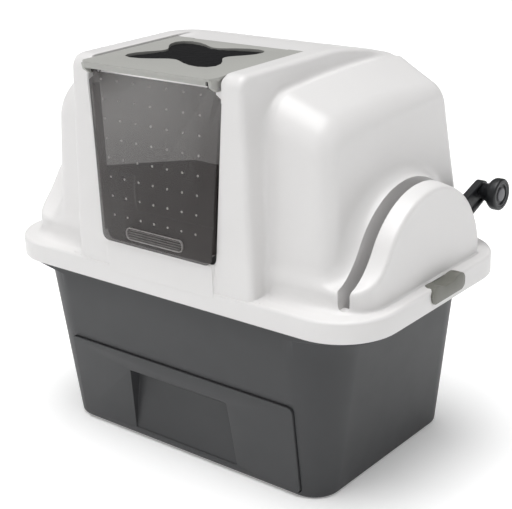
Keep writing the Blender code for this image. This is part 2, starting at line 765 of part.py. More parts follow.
def make_cover(finish, tray_finish, filter_finish, metal):
    half = COVER_HALF
    outline = rounded([
        (half, COVER_FRONT, 0.012), (half, COVER_REAR, 0.002),
        (-half, COVER_REAR, 0.002), (-half, COVER_FRONT, 0.012),
    ], 4)
    underside = COVER_TOP - COVER_THICK
    cover = plate("top_cover", [outline, lobed_outline()], "z", underside, COVER_TOP, finish)
    skirt = box(
        "cover_skirt", (-half + 0.010, half - 0.010), (COVER_FRONT + 0.0002, COVER_FRONT + 0.003),
        (underside - COVER_SKIRT, underside + 0.001),
    )
    join(cover, skirt)
    for side in (-1, 1):
        tag = "right" if side > 0 else "left"
        ear_x = sorted((side * EAR[0], side * EAR[1]))
        ear = plate("cover_ear_" + tag, [[
            (COVER_FRONT + 0.002, underside + 0.001), (COVER_FRONT + 0.004, DOOR_AXIS_Z + 0.003),
            (DOOR_AXIS_Y - 0.005, DOOR_AXIS_Z - 0.004), (DOOR_AXIS_Y + 0.003, DOOR_AXIS_Z - 0.004),
            (DOOR_AXIS_Y + 0.005, DOOR_AXIS_Z - 0.001), (DOOR_AXIS_Y + 0.005, underside + 0.001),
        ]], "x", *ear_x)
        ear_bore = cylinder("ear_bore_" + tag, "x", (DOOR_AXIS_Y, DOOR_AXIS_Z), PIN_RADIUS + PIN_CLEARANCE,
                            ear_x[0] - 0.001, ear_x[1] + 0.001, segments=12)
        knuckle_x = sorted((side * KNUCKLE_X[0], side * KNUCKLE_X[1]))
        knuckle = cylinder("cover_knuckle_" + tag, "x", (HINGE_Y, HINGE_Z), KNUCKLE_RADIUS,
                           *knuckle_x, segments=16)
        bore_x = sorted((side * (KNUCKLE_X[0] + 0.002), side * (KNUCKLE_X[1] + 0.012)))
        knuckle_bore = cylinder("knuckle_bore_" + tag, "x", (HINGE_Y, HINGE_Z),
                                PIN_RADIUS + PIN_CLEARANCE, *bore_x, segments=12)
        join(cover, ear)
        cut(cover, ear_bore)
        join(cover, knuckle)
        cut(cover, knuckle_bore)
        pin_x = sorted((side * (KNUCKLE_X[0] + 0.003), side * (OPENING_HALF_TOP + 0.006)))
        pin = cylinder("cover_pin_" + tag, "x", (HINGE_Y, HINGE_Z), PIN_RADIUS, *pin_x, metal, segments=12)
        set_origin(pin, (0, HINGE_Y, HINGE_Z))
    set_origin(cover, (0, HINGE_Y, HINGE_Z))

    tray_low = underside - TRAY_DEPTH
    tray = box("filter_tray", (-TRAY_HALF, TRAY_HALF), TRAY_Y, (tray_low, underside - GAP), tray_finish)
    tray_hollow = box(
        "tray_hollow", (TRAY_WALL - TRAY_HALF, TRAY_HALF - TRAY_WALL),
        (TRAY_Y[0] + TRAY_WALL, TRAY_Y[1] - TRAY_WALL),
        (tray_low + TRAY_WALL, underside + 0.03),
    )
    cut(tray, tray_hollow)
    pitch = 0.36 * TRAY_HALF
    for i in range(TRAY_SLOTS):
        x = pitch * (i - (TRAY_SLOTS - 1) / 2)
        cut(tray, box(
            f"tray_slot_{i}", (x - 0.011, x + 0.011), (TRAY_Y[0] + 0.014, TRAY_Y[1] - 0.014),
            (tray_low - 0.01, tray_low + 0.01),
        ))
    set_origin(tray, (0, HINGE_Y, HINGE_Z))
    play = TRAY_WALL + 0.0015
    felt = box("carbon_filter", (play - TRAY_HALF, TRAY_HALF - play), (TRAY_Y[0] + play, TRAY_Y[1] - play),
               (tray_low + TRAY_WALL + GAP, underside - GAP), filter_finish)
    set_origin(felt, (0, HINGE_Y, HINGE_Z))


def make_door(finish, metal):
    """The door hangs from its pins; it is drawn in its own plane and then leaned about its axis."""
    drop = DOOR_AXIS_Z - DOOR_BOTTOM
    top = 0.0015
    half_outline = [
        (DOOR_HALF_LOW, -drop, 0.012), (DOOR_HALF_TOP, -top - 0.0125, 0.0),
        (DOOR_NECK, -top - 0.007, 0.0), (DOOR_NECK, -top, 0.0),
    ]
    outline = rounded(half_outline + [(-x, z, r) for x, z, r in reversed(half_outline)], 4)
    slope = (DOOR_HALF_TOP - DOOR_HALF_LOW) / (drop - top - 0.0125)
    half = DOOR_THICK / 2
    door = plate("door_flap", [outline], "y", -half, half, finish)
    for side in (-1, 1):
        tag = "right" if side > 0 else "left"
        low_z, high_z = -drop + 0.014, -0.020
        low_x = DOOR_HALF_LOW + slope * (low_z + drop)
        high_x = DOOR_HALF_LOW + slope * (high_z + drop)
        flange = loft("door_return_" + tag, [
            [(side * (low_x - 0.0025), -half + 0.0005, low_z), (side * low_x, -half + 0.0005, low_z),
             (side * low_x, DOOR_RETURN, low_z), (side * (low_x - 0.0025), DOOR_RETURN, low_z)],
            [(side * (high_x - 0.0025), -half + 0.0005, high_z), (side * high_x, -half + 0.0005, high_z),
             (side * high_x, DOOR_RETURN, high_z), (side * (high_x - 0.0025), DOOR_RETURN, high_z)],
        ])
        knuckle_x = sorted((side * (DOOR_NECK - 0.010), side * (DOOR_NECK + 0.001)))
        knuckle = cylinder("door_knuckle_" + tag, "x", (0, 0), 0.0042, *knuckle_x, segments=16)
        bore = cylinder("door_bore_" + tag, "x", (0, 0), PIN_RADIUS + PIN_CLEARANCE,
                        knuckle_x[0] - 0.001, knuckle_x[1] + 0.001, segments=12)
        join(door, flange, knuckle)
        cut(door, bore)
        for helper in (flange, knuckle, bore):
            place_on_door(helper)
        pin_x = sorted((side * (DOOR_NECK - 0.0095), side * (EAR[1] - 0.0003)))
        pin = cylinder("door_pin_" + tag, "x", (DOOR_AXIS_Y, DOOR_AXIS_Z), PIN_RADIUS, *pin_x, metal,
                       segments=12)
        set_origin(pin, (0, DOOR_AXIS_Y, DOOR_AXIS_Z))
    pull_z = -drop + 0.0185
    pull = plate("door_pull", [rounded([
        (PULL_HALF[0], pull_z - PULL_HALF[1], 0.009), (PULL_HALF[0], pull_z + PULL_HALF[1], 0.009),
        (-PULL_HALF[0], pull_z + PULL_HALF[1], 0.009), (-PULL_HALF[0], pull_z - PULL_HALF[1], 0.009),
    ], 5)], "y", -half - 0.0025, -half + 0.0005)
    join(door, pull)
    place_on_door(pull)
    place_on_door(door)


def place_on_door(item):
    item.matrix_world = (
        Matrix.Translation((0, DOOR_AXIS_Y, DOOR_AXIS_Z)) @ Matrix.Rotation(math.radians(-DOOR_LEAN), 4, "X")
    )


# ---------------------------------------------------------------- latches
def latch_axis():
    """The latch pins' (x, z) on the right side."""
    return (RIM_HALF[0] - LATCH_PIVOT_IN, LATCH_BOTTOM)


def latch_pockets(hood):
    """A block inside each side of the rim, with a pocket for the latch and a seat for its pin."""
    x, z = latch_axis()
    back = RIM_HALF[0] - LATCH_DEPTH - POCKET_PLAY
    pocket = arc((x, z), LATCH_BARREL + GAP, -170, -10, 9) + [
        (RIM_HALF[0] + 0.02, z), (RIM_HALF[0] + 0.02, RIM_TOP + 0.01), (back, RIM_TOP + 0.01), (back, z),
    ]
    for side in (-1, 1):
        tag = "right" if side > 0 else "left"
        block_x = sorted((side * (back - WALL), side * (RIM_HALF[0] - 0.001)))
        join(hood, box(
            "latch_block_" + tag, block_x, (POCKET_Y[0] - 0.008, POCKET_Y[1] + 0.008),
            (RIM_BOTTOM + GAP, RIM_TOP - 0.001),
        ))
        cut(
            hood,
            plate("latch_pocket_" + tag, [[(side * u, v) for u, v in pocket]], "y", *POCKET_Y),
            cylinder("latch_pin_way_" + tag, "y", (side * x, z), LATCH_PIN_RADIUS + PIN_CLEARANCE,
                     POCKET_Y[0] - 0.006, POCKET_Y[1] + 0.006, segments=12),
        )


def latch_face():
    """The latch's face seen from the side: round ends and a finger scoop in its top."""
    front, rear = LATCH_Y
    middle = (front + rear) / 2 + 0.0012
    half = math.degrees(math.acos(1 - SCOOP_DEPTH / SCOOP_RADIUS))
    return (
        arc((front + 0.012, LATCH_BOTTOM + 0.012), 0.012, 180, 270, 5)
        + arc((rear - 0.009, LATCH_BOTTOM + 0.009), 0.009, -90, 0, 5)
        + arc((rear - 0.0075, LATCH_TOP - 0.0075), 0.0075, 0, 90, 5)
        + arc((middle, LATCH_TOP - SCOOP_DEPTH + SCOOP_RADIUS), SCOOP_RADIUS, -90 + half, -90 - half, 10)
        + arc((front + 0.012, LATCH_TOP - 0.012), 0.012, 90, 180, 5)
    )


def make_latches(finish, metal):
    """Each latch is a face over the rim's wall, a body in the pocket and a barrel about its pin."""
    x, z = latch_axis()
    outer = RIM_HALF[0] + LATCH_OUT
    inner = RIM_HALF[0] - LATCH_DEPTH
    wall = RIM_HALF[0] + GAP
    body_y = (POCKET_Y[0] + POCKET_PLAY, POCKET_Y[1] - POCKET_PLAY)
    right = plate("latch_right", [latch_face()], "x", wall, outer, finish)
    body = box("latch_body", (inner, wall + 0.001), body_y, (z + LATCH_BARREL, LATCH_TOP - 0.0002))
    neck = box("latch_neck", (x - 0.0015, x + 0.0015), body_y, (z, z + LATCH_BARREL + 0.001))
    barrel = cylinder("latch_barrel", "y", (x, z), LATCH_BARREL, *body_y, segments=20)
    scoop_centre = (sum(LATCH_Y) / 2 + 0.0012, LATCH_TOP - SCOOP_DEPTH + SCOOP_RADIUS + 0.0001)
    scoop = cylinder("latch_scoop", "x", scoop_centre, SCOOP_RADIUS, inner - 0.01, outer + 0.01, segments=96)
    chamfer = plate("latch_chamfer", [[
        (wall - 0.0005, LATCH_BOTTOM - 0.0005), (wall + 0.0025, LATCH_BOTTOM - 0.0005),
        (wall - 0.0005, LATCH_BOTTOM + 0.0025),
    ]], "y", LATCH_Y[0] - 0.01, LATCH_Y[1] + 0.01)
    pin_way = cylinder(
        "latch_pin_way", "y", (x, z), LATCH_PIN_RADIUS + PIN_CLEARANCE, body_y[0] - 0.001, body_y[1] + 0.001,
        segments=12,
    )
    cut(right, chamfer)
    join(right, body, neck, barrel)
    cut(right, scoop, pin_way)
    for helper in (right, body, neck, barrel, scoop, chamfer, pin_way):
        set_origin(helper, (x, 0, z))
    mirrored(right, "latch_left", finish)
    pin = cylinder(
        "latch_pin_right", "y", (x, z), LATCH_PIN_RADIUS, POCKET_Y[0] - 0.005, POCKET_Y[1] + 0.005, metal,
        segments=12,
    )
    set_origin(pin, (x, 0, z))
    mirrored(pin, "latch_pin_left", metal)


# ---------------------------------------------------------------- assembly
clear_scene()
PARTS = new_collection("cat_litter_box")
CUTTERS = new_collection("cutters", helper=True)

hood_white = material("hood_white", (0.80, 0.80, 0.79), 0.42)
tub_grey = material("tub_grey", (0.070, 0.073, 0.078), 0.50)
cover_grey = material("cover_grey", (0.42, 0.43, 0.40), 0.45)
latch_grey = material("latch_grey", (0.19, 0.19, 0.16), 0.45)
pan_black = material("pan_black", (0.020, 0.021, 0.024), 0.45)
sieve_grey = material("sieve_grey", (0.035, 0.038, 0.045), 0.50)
smoked_clear = material("smoked_clear", (0.16, 0.13, 0.12), 0.12, alpha=0.6)
filter_felt = material("filter_felt", (0.012, 0.012, 0.013), 0.95)
pin_steel = material("pin_steel", (0.55, 0.55, 0.56), 0.30, 1.0)
cap_grey = material("cap_grey", (0.16, 0.16, 0.17), 0.40)

make_tub(tub_grey)
make_rails(tub_grey)
make_saddles(tub_grey)
make_drawer(tub_grey, pan_black)
make_pan(pan_black, sieve_grey, pin_steel)
make_knob(pan_black, cap_grey)
make_hood(hood_white)
make_cover(cover_grey, pan_black, filter_felt, pin_steel)
make_door(smoked_clear, pin_steel)
make_latches(latch_grey, pin_steel)

for part in PARTS.objects:
    part.data.shade_smooth()
    part.data.set_sharp_from_angle(angle=math.radians(35))
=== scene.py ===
"""Looks of the hooded litter box: fine shells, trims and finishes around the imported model. Metres, +Z up."""

import math
import bmesh
import bpy
import json
import numpy as np
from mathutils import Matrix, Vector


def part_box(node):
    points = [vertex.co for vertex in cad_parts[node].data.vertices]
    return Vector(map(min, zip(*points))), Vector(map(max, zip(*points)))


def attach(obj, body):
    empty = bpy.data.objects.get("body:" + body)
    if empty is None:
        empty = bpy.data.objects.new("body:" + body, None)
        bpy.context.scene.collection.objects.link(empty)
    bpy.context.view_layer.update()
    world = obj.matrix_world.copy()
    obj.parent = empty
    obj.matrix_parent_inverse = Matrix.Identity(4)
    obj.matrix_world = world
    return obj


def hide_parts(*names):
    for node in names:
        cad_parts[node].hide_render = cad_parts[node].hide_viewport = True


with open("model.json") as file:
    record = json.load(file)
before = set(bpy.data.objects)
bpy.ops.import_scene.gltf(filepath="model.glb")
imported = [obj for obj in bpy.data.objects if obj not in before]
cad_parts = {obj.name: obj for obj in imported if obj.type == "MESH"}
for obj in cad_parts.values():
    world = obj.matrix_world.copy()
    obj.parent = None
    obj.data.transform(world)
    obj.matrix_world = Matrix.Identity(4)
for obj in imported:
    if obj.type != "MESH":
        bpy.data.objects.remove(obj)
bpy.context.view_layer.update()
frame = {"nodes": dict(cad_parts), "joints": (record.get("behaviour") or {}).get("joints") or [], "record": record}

import openvdb
from mathutils import Matrix, Vector

# ---------------------------------------------------------------- sizes from the frame
hood_low, hood_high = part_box("hood_shell")
tub_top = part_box("base_tub")[1][2]
latch_low, latch_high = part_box("latch_right")
knob_low, knob_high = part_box("lever_knob")
lever_low, lever_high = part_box("lever_arm")
felt_low, felt_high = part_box("carbon_filter")
joint_at = {joint["name"]: Vector(joint.get("pos_m", (0, 0, 0))) for joint in frame["joints"]}

RIM_HALF = (hood_high[0], 0.199)
RIM_LOW = hood_low[2]
RIM_TOP = RIM_LOW + 0.0305
RIM_CORNER = 0.085
HOOD_TOP = hood_high[2]
PIVOT = joint_at["pan_turn"]
DOOR_AXIS = joint_at["door_swing"]
KNOB_AXIS = joint_at["knob_spin"]
OPENING_TOP = 0.1215
OPENING_SILL = 0.1040
OPENING_BEND = 0.5600
SILL = 0.3335
SLOT = (0.2745, 0.2925)
SLOT_FRONT = -0.1515
SLOT_TOP = 0.480
DOME_OUTER = 0.318
PLINTH_TOP = RIM_TOP + 0.0262
PLINTH_FRONT = 0.159
PLINTH_CORNER = 0.050
DOOR_LEAN = math.radians(3.5)
DOOR_DROP = DOOR_AXIS.z - SILL - 0.0020
DOOR_THICK = 0.0028
PULL_RISE = 0.0185
PIP_ROWS = 8
PIP_COLUMNS = 7
PIP_RADIUS = 0.0019
LEVER_ENDS = (0.021, 0.016)
LEVER_EDGE = 0.0008
LATCH_AXIS = joint_at["right_latch_flip"]
POCKET = (-0.0185, 0.0490)
POCKET_BACK = RIM_HALF[0] - 0.0163
IN_POCKET = (POCKET[0] + 0.0007, POCKET[1] - 0.0007)
APRON_HALF = 0.100
APRON_FRONT = hood_low[1]
CENTRE_FRONT = 0.1965
HOOD_WALL = 0.004
DECK_UNDER = RIM_TOP - 0.003
TUB_FOOT = 0.006
TUB_WALL = 0.003


# ---------------------------------------------------------------- shader maths
class Value:
    """A shader socket that adds a Math node for each operator used on it."""

    def __init__(self, finish, socket):
        self.finish = finish
        self.socket = socket

    def math(self, operation, *others):
        node = self.finish.node("ShaderNodeMath", {"operation": operation}, self, *others)
        return Value(self.finish, node.outputs[0])

    def __add__(self, other):
        return self.math("ADD", other)

    def __mul__(self, other):
        return self.math("MULTIPLY", other)


class Finish:
    """One material, with the nodes that feed its shader."""

    def __init__(self, name, roughness=0.5, **constants):
        self.material = bpy.data.materials.new(name)
        self.material.use_nodes = True
        self.tree = self.material.node_tree
        self.shader = self.tree.nodes["Principled BSDF"]
        self.set("Roughness", roughness)
        for socket, value in constants.items():
            self.set(socket.replace("_", " "), value)

    def node(self, kind, settings=None, *inputs, **named):
        """A node: its settings come first, then its inputs in order, then those by name."""
        made = self.tree.nodes.new(kind)
        for key, value in (settings or {}).items():
            setattr(made, key, value)
        for value, socket in zip(inputs, made.inputs):
            self.link(value, socket)
        for key, value in named.items():
            self.link(value, made.inputs[key.replace("_", " ")])
        return made

    def link(self, value, socket):
        """Feeds a socket from a node, or sets it to a plain value."""
        if isinstance(value, Value):
            value = value.socket
        if isinstance(value, bpy.types.NodeSocket):
            self.tree.links.new(value, socket)
        else:
            socket.default_value = value

    def set(self, socket, value):
        self.link(value, self.shader.inputs[socket])

    def place(self, stretch=(1, 1, 1)):
        """Object coordinates, stretched."""
        coordinates = self.node("ShaderNodeTexCoord")
        mapping = self.node("ShaderNodeMapping", None, coordinates.outputs["Object"], Scale=stretch)
        return mapping.outputs[0]

    def noise(self, scale, detail=2.0, stretch=(1, 1, 1)):
        """Soft mottling of this many spots to the metre."""
        where = self.place(stretch)
        made = self.node("ShaderNodeTexNoise", None, where, Scale=scale, Detail=detail, Roughness=0.55)
        return Value(self, made.outputs[0])

    def blend(self, factor, low, high):
        """A colour between two, by a factor."""
        made = self.node("ShaderNodeMix", {"data_type": "RGBA"})
        self.link(factor, made.inputs[0])
        self.link((*low, 1.0), made.inputs[6])
        self.link((*high, 1.0), made.inputs[7])
        return made.outputs[2]

    def bump(self, height, depth, strength=1.0, under=None):
        """A raised grain of this depth, laid over another where one is given."""
        made = self.node("ShaderNodeBump", None, Strength=strength, Distance=depth, Height=height)
        if under:
            self.link(under, made.inputs["Normal"])
        return made.outputs[0]


def moulded(name, shade, deep, roughness, grain=0.00006, coat=0.0):
    """Moulded plastic: slow drift in shade and gloss, a fine spark-eroded grain and a faint flow waviness."""
    finish = Finish(name, IOR=1.47, Coat_Weight=coat, Coat_Roughness=0.25)
    drift = finish.noise(7.0, 3.0)
    speck = finish.noise(420.0, 2.0)
    finish.set("Base Color", finish.blend(drift * 0.90 + speck * 0.10, deep, shade))
    cloud = finish.noise(24.0, 2.0)
    finish.set("Roughness", cloud * 0.10 + speck * 0.04 + (roughness - 0.07))
    wave = finish.bump(finish.noise(16.0, 1.0), 0.0010, 0.18)
    finish.set("Normal", finish.bump(finish.noise(900.0, 2.0), grain, 0.6, wave))
    return finish.material


def make_finishes():
    """Every finish, by the slot that it is for; the lighter smoked finish serves the door's slot where it is
    thick, as painted highlights on its raised edges.
    """
    white, white_deep = (0.80, 0.79, 0.785), (0.76, 0.75, 0.745)
    tub, tub_deep = (0.046, 0.047, 0.050), (0.038, 0.039, 0.041)
    cover, cover_deep = (0.43, 0.43, 0.405), (0.39, 0.39, 0.37)
    latch, latch_deep = (0.185, 0.185, 0.160), (0.155, 0.155, 0.135)
    pan, pan_deep = (0.013, 0.014, 0.016), (0.008, 0.009, 0.010)
    sieve, sieve_deep = (0.040, 0.043, 0.050), (0.028, 0.030, 0.036)
    cap, cap_deep = (0.15, 0.15, 0.16), (0.11, 0.11, 0.12)
    return {
        "hood_white": moulded("white_moulding", white, white_deep, 0.38, coat=0.12),
        "tub_grey": moulded("tub_moulding", tub, tub_deep, 0.50, grain=0.00012),
        "cover_grey": moulded("cover_moulding", cover, cover_deep, 0.42),
        "latch_grey": moulded("latch_moulding", latch, latch_deep, 0.40),
        "pan_black": moulded("pan_moulding", pan, pan_deep, 0.40),
        "sieve_grey": moulded("sieve_moulding", sieve, sieve_deep, 0.42),
        "cap_grey": moulded("cap_moulding", cap, cap_deep, 0.38),
        "smoked_clear": smoked_plastic(),
        "smoked_painted_highlight": smoked_painted_highlight(),
        "filter_felt": carbon_felt(),
        "pin_steel": drawn_steel(),
    }


def smoked_plastic():
    """Smoked clear plastic: part see-through, part glossy brown-grey skin with fine scuffs."""
    finish = Finish("smoked_door", 0.1, IOR=1.49, Coat_Weight=0.25, Coat_Roughness=0.06)
    drift = finish.noise(5.0, 2.0)
    scuff = finish.noise(260.0, 3.0, (1, 1, 0.15))
    finish.set("Base Color", finish.blend(drift, (0.030, 0.023, 0.021), (0.038, 0.030, 0.028)))
    finish.set("Roughness", scuff * 0.10 + 0.05)
    finish.set("Alpha", drift * 0.04 + 0.55)
    finish.set("Normal", finish.bump(finish.noise(9.0, 1.0), 0.0006, 0.05))
    return finish.material


def smoked_painted_highlight():
    """The same smoked plastic where it is thick and rounded, coloured far lighter so that it paints highlights on
    those edges.
    """
    finish = Finish("smoked_painted_highlights", 0.22, IOR=1.49, Coat_Weight=0.4, Coat_Roughness=0.08)
    drift = finish.noise(60.0, 2.0)
    finish.set("Base Color", finish.blend(drift, (0.42, 0.40, 0.39), (0.58, 0.56, 0.55)))
    finish.set("Roughness", drift * 0.12 + 0.16)
    finish.set("Alpha", drift * 0.10 + 0.42)
    return finish.material


def carbon_felt():
    """Black needled felt: matted fibres in two lengths."""
    finish = Finish("carbon_felt", 0.95, IOR=1.25)
    fibre = finish.noise(650.0, 4.0, (1, 0.35, 1))
    cross = finish.noise(520.0, 3.0, (0.3, 1, 1))
    matted = fibre * cross * 2.2
    finish.set("Base Color", finish.blend(matted, (0.002, 0.002, 0.0025), (0.016, 0.016, 0.017)))
    finish.set("Roughness", fibre * 0.1 + 0.88)
    finish.set("Normal", finish.bump(fibre + cross, 0.0008, 0.9))
    return finish.material


def drawn_steel():
    """Drawn wire: bright metal with fine lines along it."""
    finish = Finish("drawn_steel", 0.3, Metallic=1.0)
    lines = finish.noise(900.0, 2.0, (0.05, 1, 1))
    finish.set("Base Color", finish.blend(lines, (0.46, 0.46, 0.48), (0.60, 0.60, 0.61)))
    finish.set("Roughness", lines * 0.18 + 0.20)
    return finish.material


FINISHES = make_finishes()


# ---------------------------------------------------------------- making pieces
def piece(name, mesh, slot, body, *stands_for, finish=None):
    """A finished piece: its mesh, its material, the body it rides on and the nodes it stands for."""
    item = bpy.data.objects.new(name, mesh)
    bpy.context.scene.collection.objects.link(item)
    mesh.materials.clear()
    mesh.materials.append(FINISHES[finish or slot])
    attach(item, body)
    if stands_for:
        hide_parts(*stands_for)
    return item


def mesh_from(shape, smooth_angle=32.0):
    """A bmesh as a mesh with its faces outwards and its curved skin smooth."""
    bmesh.ops.remove_doubles(shape, verts=shape.verts, dist=1e-7)
    bmesh.ops.recalc_face_normals(shape, faces=shape.faces)
    if shape.calc_volume(signed=True) < 0:
        bmesh.ops.reverse_faces(shape, faces=shape.faces)
    mesh = bpy.data.meshes.new("piece")
    shape.to_mesh(mesh)
    shape.free()
    smooth(mesh, smooth_angle)
    return mesh


def smooth(mesh, angle=32.0):
    """Smooth shading, with the edges sharper than this angle in degrees kept crisp."""
    mesh.shade_smooth()
    mesh.set_sharp_from_angle(angle=math.radians(angle))


def skin(sections, closed=False, caps=True):
    """A bmesh skin through sections of equally many points; closed joins the last section to the first."""
    shape = bmesh.new()
    rings = [[shape.verts.new(point) for point in section] for section in sections]
    steps = list(zip(rings, rings[1:]))
    if closed:
        steps.append((rings[-1], rings[0]))
    for low, high in steps:
        for i in range(len(low)):
            j = (i + 1) % len(low)
            shape.faces.new((low[i], low[j], high[j], high[i]))
    if caps and not closed:
        shape.faces.new(rings[0])
        shape.faces.new(list(reversed(rings[-1])))
    return shape


def modified(mesh, *changes):
    """The mesh with modifiers applied, each given as (type, settings)."""
    item = bpy.data.objects.new("working", mesh)
    bpy.context.scene.collection.objects.link(item)
    for kind, settings in changes:
        modifier = item.modifiers.new(kind, kind)
        for key, value in settings.items():
            setattr(modifier, key, value)
    graph = bpy.context.evaluated_depsgraph_get()
    made = bpy.data.meshes.new_from_object(item.evaluated_get(graph))
    bpy.data.objects.remove(item, do_unlink=True)
    return made


def carved(mesh, *cutters, operation="DIFFERENCE", solver="MANIFOLD"):
    """The mesh with other meshes cut from it or joined to it."""
    for cutter in cutters:
        tool = bpy.data.objects.new("tool", cutter)
        bpy.context.scene.collection.objects.link(tool)
        mesh = modified(mesh, ("BOOLEAN", {"operation": operation, "object": tool, "solver": solver}))
        bpy.data.objects.remove(tool, do_unlink=True)
    return mesh


def block(x, y, z):
    """A box mesh between two values on each axis."""
    shape = bmesh.new()
    bmesh.ops.create_cube(shape, size=1.0)
    spans = (x, y, z)
    for vert in shape.verts:
        for i in range(3):
            vert.co[i] = spans[i][0] if vert.co[i] < 0 else spans[i][1]
    return mesh_from(shape)


def slab(outline, low, high, axis="z"):
    """A flat outline made solid from low to high along an axis."""
    order = {"x": lambda u, v, w: (w, u, v), "y": lambda u, v, w: (u, w, v), "z": lambda u, v, w: (u, v, w)}
    to_space = order[axis]
    return mesh_from(skin([[to_space(u, v, w) for u, v in outline] for w in (low, high)]))


def turned(profile, centre, steps=96):
    """A profile of (radius, x) points turned about an X axis through centre."""
    sections = []
    for radius, x in profile:
        ring = []
        for i in range(steps):
            angle = 2 * math.pi * i / steps
            ring.append((x, centre[1] + radius * math.cos(angle), centre[2] + radius * math.sin(angle)))
        sections.append(ring)
    return mesh_from(skin(sections))


def turned_ring(profile, centre, steps=96):
    """A closed profile of (radius, x) points turned about an X axis, leaving a bore in the middle."""
    sections = []
    for i in range(steps):
        angle = 2 * math.pi * i / steps
        across, up = math.cos(angle), math.sin(angle)
        sections.append([(x, centre.y + radius * across, centre.z + radius * up) for radius, x in profile])
    return mesh_from(skin(sections, closed=True))


def span(side, near, far):
    """A stretch of x on one side of the middle, in rising order."""
    return sorted((side * near, side * far))


def eased(name, slot, body, *nodes, width=0.0010, segments=2, angle=30.0):
    """A copy of CAD nodes with their flat faces made whole and their edges rounded, as moulds leave them."""
    shape = bmesh.new()
    for node in nodes:
        shape.from_mesh(frame["nodes"][node].data)
    bmesh.ops.remove_doubles(shape, verts=shape.verts, dist=1e-6)
    bmesh.ops.dissolve_limit(shape, angle_limit=math.radians(1.0), verts=shape.verts, edges=shape.edges)
    mesh = bpy.data.meshes.new(name)
    shape.to_mesh(mesh)
    shape.free()
    mesh = modified(mesh, ("BEVEL", {
        "width": width, "segments": segments, "limit_method": "ANGLE", "angle_limit": math.radians(angle),
        "use_clamp_overlap": True, "miter_outer": "MITER_ARC",
    }))
    smooth(mesh)
    return piece(name, mesh, slot, body, *nodes)


def arc(centre, radius, start, end, steps):
    """Points on an arc, with angles in degrees."""
    angles = [math.radians(start + (end - start) * i / steps) for i in range(steps + 1)]
    return [(centre[0] + radius * math.cos(a), centre[1] + radius * math.sin(a)) for a in angles]


def rounded_rectangle(half_x, half_y, corner, steps=14, centre=(0.0, 0.0)):
    """A rectangle's outline with an arc at each corner."""
    points = []
    for sx, sy, start in ((1, -1, -90), (1, 1, 0), (-1, 1, 90), (-1, -1, 180)):
        middle = (centre[0] + sx * (half_x - corner), centre[1] + sy * (half_y - corner))
        points += arc(middle, corner, start, start + 90, steps)
    return points


# ---------------------------------------------------------------- camera, light and floor
def make_camera():
    """The camera looks at the box from its front right corner and a little above."""
    azimuth, elevation, roll = (math.radians(value) for value in (39.691, 20.508, -2.107))
    back = Vector((
        math.sin(azimuth) * math.cos(elevation),
        -math.cos(azimuth) * math.cos(elevation),
        math.sin(elevation),
    ))
    level = (-back).cross(Vector((0, 0, 1))).normalized()
    upright = level.cross(-back)
    right = level * math.cos(roll) + upright * math.sin(roll)
    up = upright * math.cos(roll) - level * math.sin(roll)
    camera = bpy.data.objects.new("camera", bpy.data.cameras.new("camera"))
    bpy.context.scene.collection.objects.link(camera)
    turn = Matrix((right, up, back)).transposed().to_4x4()
    camera.matrix_world = Matrix.Translation((1.1419, -1.3609, 0.9331)) @ turn
    camera.data.sensor_width = 36.0
    camera.data.lens = 87.39
    bpy.context.scene.camera = camera


def make_studio():
    """A pale floor, an even white surround, two soft lights and a small lamp under the hood's roof."""
    floor = bpy.data.objects.new("floor", block((-60, 60), (-60, 60), (-0.02, -0.0004)))
    bpy.context.scene.collection.objects.link(floor)
    paper = Finish("studio_paper", 0.9)
    paper.set("Base Color", paper.blend(paper.noise(3.0), (0.90, 0.90, 0.90), (0.92, 0.92, 0.92)))
    paper.set("Emission Color", (1.0, 1.0, 1.0, 1.0))
    paper.set("Emission Strength", 0.24)
    floor.data.materials.append(paper.material)

    world = bpy.data.worlds.new("surround")
    world.use_nodes = True
    world.node_tree.nodes["Background"].inputs[0].default_value = (1.0, 1.0, 1.0, 1.0)
    world.node_tree.nodes["Background"].inputs[1].default_value = 0.22
    bpy.context.scene.world = world
    bpy.context.scene.view_settings.view_transform = "Standard"

    for name, toward, spread, strength in (
        ("overhead", (-0.03, -0.09, 1.0), 50.0, 2.9),
        ("front_left", (-0.70, -1.0, 0.45), 55.0, 0.22),
    ):
        light = bpy.data.lights.new(name, "SUN")
        light.energy = strength
        light.angle = math.radians(spread)
        lamp = bpy.data.objects.new(name, light)
        lamp.rotation_euler = Vector(toward).to_track_quat("Z", "Y").to_euler()
        bpy.context.scene.collection.objects.link(lamp)

    light = bpy.data.lights.new("cabin_fill", "AREA")
    light.shape = "RECTANGLE"
    light.size, light.size_y = 0.25, 0.20
    light.energy = 1.9
    lamp = bpy.data.objects.new("cabin_fill", light)
    lamp.location = (0, 0.02, HOOD_TOP - 0.014)
    lamp.visible_camera = False
    bpy.context.scene.collection.objects.link(lamp)


# ---------------------------------------------------------------- hood body as a distance field
def round_join(a, b, radius):
    """Both solids, with a fillet of this radius where they meet."""
    corner = np.hypot(np.maximum(radius - a, 0), np.maximum(radius - b, 0))
    return np.maximum(radius, np.minimum(a, b)) - corner


def round_meet(a, b, radius):
    """What two solids share, with its edge rounded to this radius."""
    corner = np.hypot(np.maximum(radius + a, 0), np.maximum(radius + b, 0))
    return np.minimum(-radius, np.maximum(a, b)) + corner


def front_face(z):
    """Where the centre block's front stands at a height; it leans back upwards."""
    return -CENTRE_FRONT + 0.0065 * (z - RIM_TOP) / (HOOD_TOP - RIM_TOP)


def centre_field(x, y, z):
    """The block with the door: leaning front, ridges along the top, and a rear that slopes down."""
    rise = z - RIM_TOP
    tall = HOOD_TOP - RIM_TOP
    front = front_face(z) - y
    side = x - (0.166 - 0.011 * rise / tall)
    top = z - HOOD_TOP
    slope = (y - 0.112) * 0.475 + top * 0.880
    rear = y - (0.187 + 0.0157 * (0.556 - z))
    field = round_meet(front, top, 0.020)
    field = round_meet(field, slope, 0.055)
    field = round_meet(field, rear, 0.030)
    return round_meet(field, side, 0.009)


